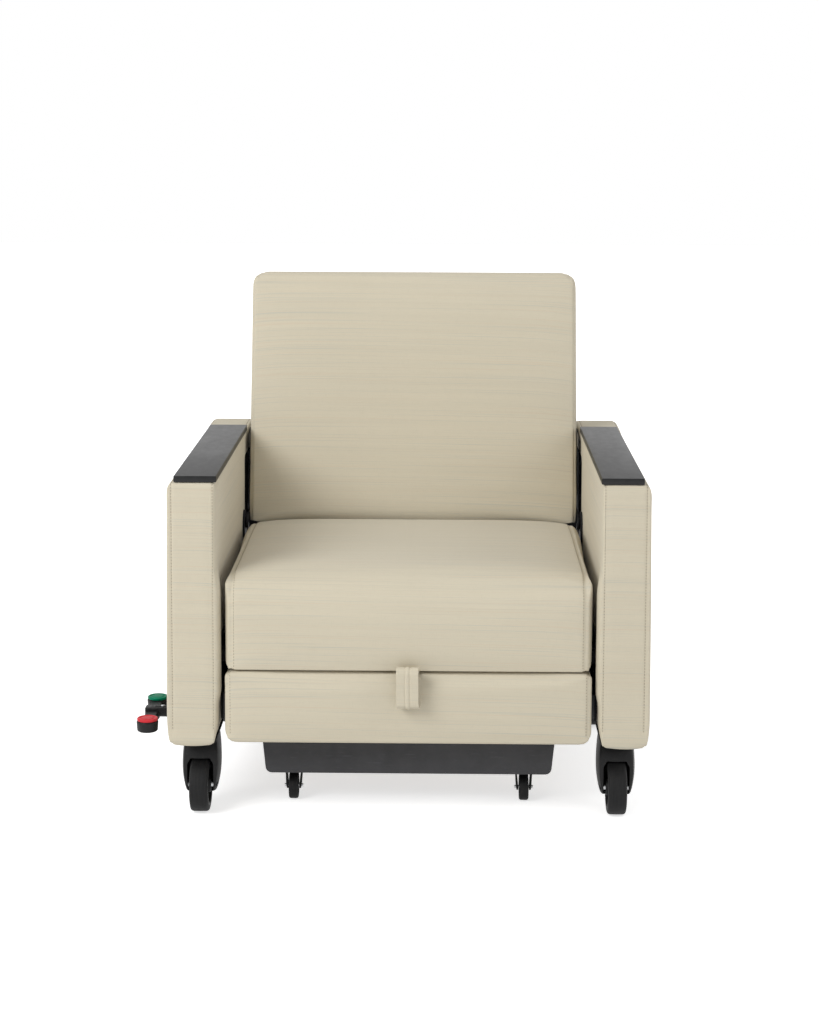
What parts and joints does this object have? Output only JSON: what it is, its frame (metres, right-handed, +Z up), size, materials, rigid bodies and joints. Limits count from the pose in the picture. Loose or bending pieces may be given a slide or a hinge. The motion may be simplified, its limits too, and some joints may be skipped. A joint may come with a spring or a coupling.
{
  "type": "sleep chair",
  "caption": "Upholstered hospital sleep chair on casters, with padded arms, a back that folds flat, a foot section that rolls out from under the seat, and a central brake pedal.",
  "frame": {"origin": "middle of the footprint, on the floor", "axes": "+Z up; the chair faces -Y; +X to the right as seen from the front"},
  "size_m": [0.951, 0.8518, 0.9659],
  "materials": {
    "fabric": "woven upholstery, cream with fine slubs",
    "cap": "self-skinned, fine grain",
    "dark_steel": "black powder coat",
    "grey_paint": "dark grey powder coat",
    "zinc": "zinc plated",
    "black_plastic": "moulded, black",
    "tyre": "black tread",
    "red": "moulded, red",
    "green": "moulded, green",
    "board": "plywood"
  },
  "bodies": {
    "base": {"arm_upholstery_left": "fabric", "arm_cap_left": "cap", "arm_frame_left": "dark_steel", "base_plate_left": "dark_steel", "side_plate_left": "dark_steel", "slide_channel_left": "zinc", "arm_upholstery_right": "fabric", "arm_cap_right": "cap", "arm_frame_right": "dark_steel", "base_plate_right": "dark_steel", "side_plate_right": "dark_steel", "slide_channel_right": "zinc", "seat_rail_front": "dark_steel", "seat_rail_rear": "dark_steel", "seat_deck": "board", "seat_cushion": "fabric", "rear_rail": "dark_steel", "rear_cover": "grey_paint", "pedal_bush": "black_plastic"},
    "back": {"back_cushion": "fabric", "back_frame": "board", "back_cover": "fabric", "back_hinge_arm_left": "dark_steel", "back_hinge_arm_right": "dark_steel"},
    "slide_middle": {"slide_middle_left": "zinc", "slide_middle_right": "zinc"},
    "foot": {"foot_pad": "fabric", "foot_deck": "board", "foot_runner_left": "dark_steel", "foot_runner_right": "dark_steel", "leg_panel": "grey_paint", "pull_strap": "fabric"},
    "caster_front_left": {"caster_fork_front_left": "black_plastic", "caster_axle_front_left": "zinc"},
    "wheel_front_left": {"caster_wheel_front_left": "tyre"},
    "caster_rear_left": {"caster_fork_rear_left": "black_plastic", "caster_axle_rear_left": "zinc"},
    "wheel_rear_left": {"caster_wheel_rear_left": "tyre"},
    "caster_front_right": {"caster_fork_front_right": "black_plastic", "caster_axle_front_right": "zinc"},
    "wheel_front_right": {"caster_wheel_front_right": "tyre"},
    "caster_rear_right": {"caster_fork_rear_right": "black_plastic", "caster_axle_rear_right": "zinc"},
    "wheel_rear_right": {"caster_wheel_rear_right": "tyre"},
    "leg_caster_left": {"leg_caster_fork_left": "black_plastic", "leg_caster_axle_left": "zinc"},
    "leg_wheel_left": {"leg_caster_wheel_left": "tyre"},
    "leg_caster_right": {"leg_caster_fork_right": "black_plastic", "leg_caster_axle_right": "zinc"},
    "leg_wheel_right": {"leg_caster_wheel_right": "tyre"},
    "pedal": {"pedal_lever": "black_plastic", "red_pedal_pad": "red", "green_pedal_pad": "green", "pedal_screw": "zinc", "pedal_shaft": "zinc"},
    "rear_brake_bar": {"brake_bar_rear": "zinc"},
    "right_brake_shaft": {"brake_shaft_right": "zinc"},
    "brake_rod_left": {"brake_rod_left": "zinc"},
    "brake_rod_right": {"brake_rod_right": "zinc"}
  },
  "joints": [
    {"name": "back_recline", "type": "hinge", "parent": "base", "child": "back", "pos_m": [0.0295, 0.17905, 0.452], "axis": [-1, 0, 0], "range_deg": [0, 78]},
    {"name": "foot_slide", "type": "slide", "parent": "base", "child": "foot", "axis": [0, -1, 0], "range_m": [0, 0.55]},
    {"name": "middle_slide", "type": "slide", "parent": "base", "child": "slide_middle", "axis": [0, -1, 0], "range_m": [0, 0.275]},
    {"name": "caster_swivel_front_left", "type": "hinge", "parent": "base", "child": "caster_front_left", "pos_m": [-0.359, -0.29195, 0.14], "axis": [0, 0, 1], "continuous": true},
    {"name": "wheel_roll_front_left", "type": "hinge", "parent": "caster_front_left", "child": "wheel_front_left", "pos_m": [-0.359, -0.33194, 0.05], "axis": [1, 0, 0], "continuous": true},
    {"name": "caster_swivel_rear_left", "type": "hinge", "parent": "base", "child": "caster_rear_left", "pos_m": [-0.359, 0.29806, 0.14], "axis": [0, 0, 1], "continuous": true},
    {"name": "wheel_roll_rear_left", "type": "hinge", "parent": "caster_rear_left", "child": "wheel_rear_left", "pos_m": [-0.359, 0.25805, 0.05], "axis": [1, 0, 0], "continuous": true},
    {"name": "caster_swivel_front_right", "type": "hinge", "parent": "base", "child": "caster_front_right", "pos_m": [0.418, -0.29195, 0.14], "axis": [0, 0, 1], "continuous": true},
    {"name": "wheel_roll_front_right", "type": "hinge", "parent": "caster_front_right", "child": "wheel_front_right", "pos_m": [0.418, -0.33194, 0.05], "axis": [1, 0, 0], "continuous": true},
    {"name": "caster_swivel_rear_right", "type": "hinge", "parent": "base", "child": "caster_rear_right", "pos_m": [0.418, 0.29806, 0.14], "axis": [0, 0, 1], "continuous": true},
    {"name": "wheel_roll_rear_right", "type": "hinge", "parent": "caster_rear_right", "child": "wheel_rear_right", "pos_m": [0.418, 0.25805, 0.05], "axis": [1, 0, 0], "continuous": true},
    {"name": "leg_caster_swivel_left", "type": "hinge", "parent": "foot", "child": "leg_caster_left", "pos_m": [-0.1895, -0.23694, 0.0775], "axis": [0, 0, 1], "continuous": true},
    {"name": "leg_wheel_roll_left", "type": "hinge", "parent": "leg_caster_left", "child": "leg_wheel_left", "pos_m": [-0.1895, -0.25494, 0.025], "axis": [1, 0, 0], "continuous": true},
    {"name": "leg_caster_swivel_right", "type": "hinge", "parent": "foot", "child": "leg_caster_right", "pos_m": [0.2485, -0.23694, 0.0775], "axis": [0, 0, 1], "continuous": true},
    {"name": "leg_wheel_roll_right", "type": "hinge", "parent": "leg_caster_right", "child": "leg_wheel_right", "pos_m": [0.2485, -0.25494, 0.025], "axis": [1, 0, 0], "continuous": true},
    {"name": "pedal_rock", "type": "hinge", "parent": "base", "child": "pedal", "pos_m": [-0.4165, -0.29195, 0.178], "axis": [1, 0, 0], "range_deg": [-12, 12]},
    {"name": "rear_brake_turn", "type": "hinge", "parent": "base", "child": "rear_brake_bar", "pos_m": [0.0295, 0.29806, 0.178], "axis": [1, 0, 0], "range_deg": [-12, 12]},
    {"name": "right_brake_turn", "type": "hinge", "parent": "base", "child": "right_brake_shaft", "pos_m": [0.418, -0.29195, 0.178], "axis": [1, 0, 0], "range_deg": [-12, 12]},
    {"name": "brake_rod_slide_left", "type": "slide", "parent": "base", "child": "brake_rod_left", "axis": [0, -1, 0], "range_m": [-0.0063, 0.0063]},
    {"name": "brake_rod_slide_right", "type": "slide", "parent": "base", "child": "brake_rod_right", "axis": [0, -1, 0], "range_m": [-0.0063, 0.0063]}
  ],
  "couplings": [
    {"joint": "middle_slide", "follows": "foot_slide", "ratio": 0.5},
    {"joint": "rear_brake_turn", "follows": "pedal_rock", "ratio": 1},
    {"joint": "right_brake_turn", "follows": "pedal_rock", "ratio": 1},
    {"joint": "brake_rod_slide_left", "follows": "pedal_rock", "m_per_rad": 0.03},
    {"joint": "brake_rod_slide_right", "follows": "pedal_rock", "m_per_rad": 0.03}
  ]
}
